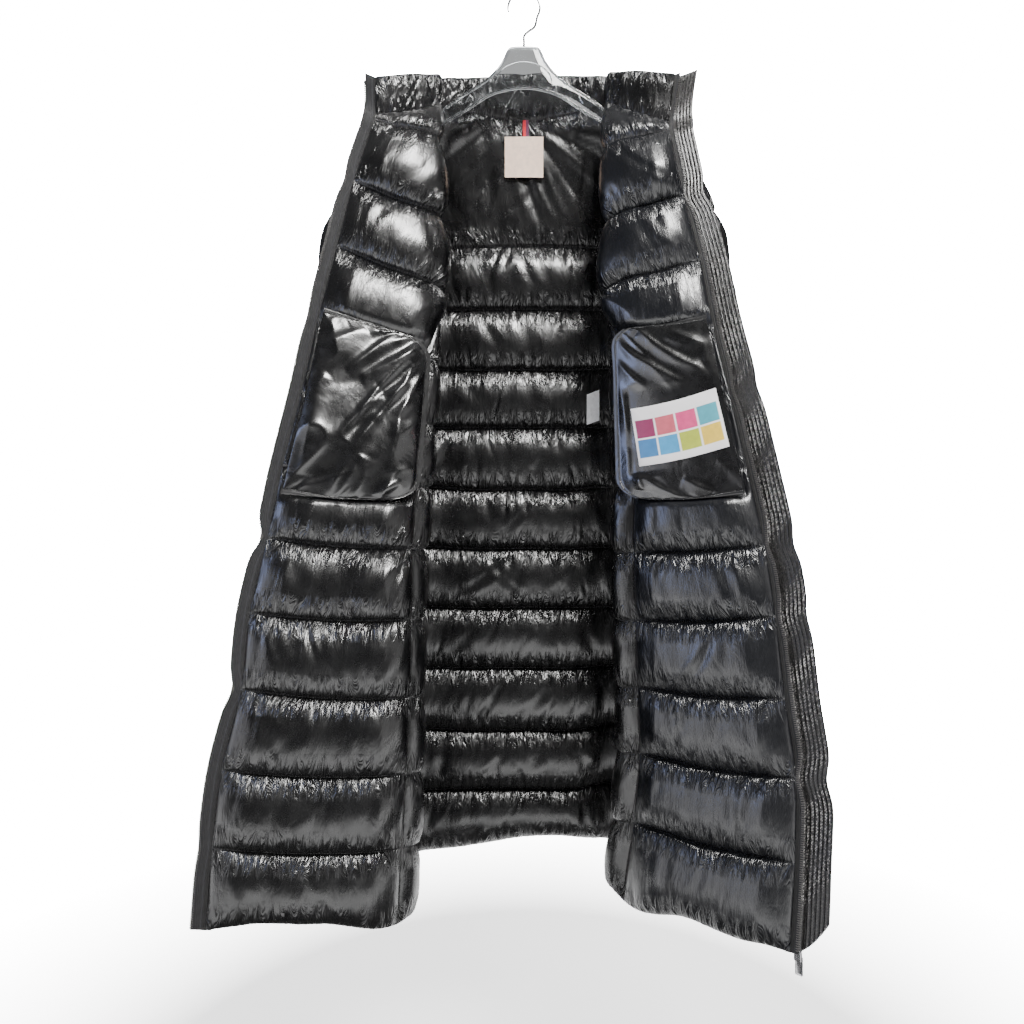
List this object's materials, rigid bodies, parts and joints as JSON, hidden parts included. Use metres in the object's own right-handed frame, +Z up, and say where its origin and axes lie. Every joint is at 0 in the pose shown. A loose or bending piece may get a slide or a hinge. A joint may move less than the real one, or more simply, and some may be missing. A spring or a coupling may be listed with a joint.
{
  "type": "long quilted puffer coat on a hanger",
  "caption": "Ankle-length quilted down coat, open, hanging on a clear hanger with both fronts turned outward to show the lining side.",
  "frame": {"origin": "the point inside the top of the hook where it bears on its rail", "axes": "+Z up; the coat's front faces -Y; +X is the wearer's left"},
  "size_m": [0.7164, 0.3567, 1.2722],
  "materials": {
    "lacquered_nylon": "glossy lacquered black nylon",
    "pocket_nylon": "thin glossy black nylon",
    "zip_tape": "matte woven tape",
    "placket_nylon": "glossy, close rows of stitching",
    "clear_acrylic": "clear moulded plastic",
    "polished_steel": "polished",
    "woven_label": "woven satin",
    "loop_tape": "woven tape",
    "printed_label": "printed film"
  },
  "bodies": {
    "coat": {"front_right": "lacquered_nylon", "front_left": "lacquered_nylon", "side_right": "lacquered_nylon", "side_left": "lacquered_nylon", "back": "lacquered_nylon", "collar": "lacquered_nylon", "sleeve_right": "lacquered_nylon", "sleeve_left": "lacquered_nylon", "zip_tape_right": "zip_tape", "zip_tape_left": "zip_tape", "placket": "placket_nylon", "pocket_right": "pocket_nylon", "pocket_left": "pocket_nylon", "hanger": "clear_acrylic", "hook": "polished_steel", "printed_label": "printed_label", "neck_label": "woven_label", "hanging_loop": "loop_tape", "care_label": "woven_label", "slider": "polished_steel"},
    "pull": {"zip_pull": "polished_steel"}
  },
  "joints": [
    {"name": "pull_swing", "type": "hinge", "parent": "coat", "child": "pull", "pos_m": [0.30034, -0.27002, -1.2475], "axis": [0.7267, -0.6869, 0], "range_deg": [0, 80]}
  ]
}
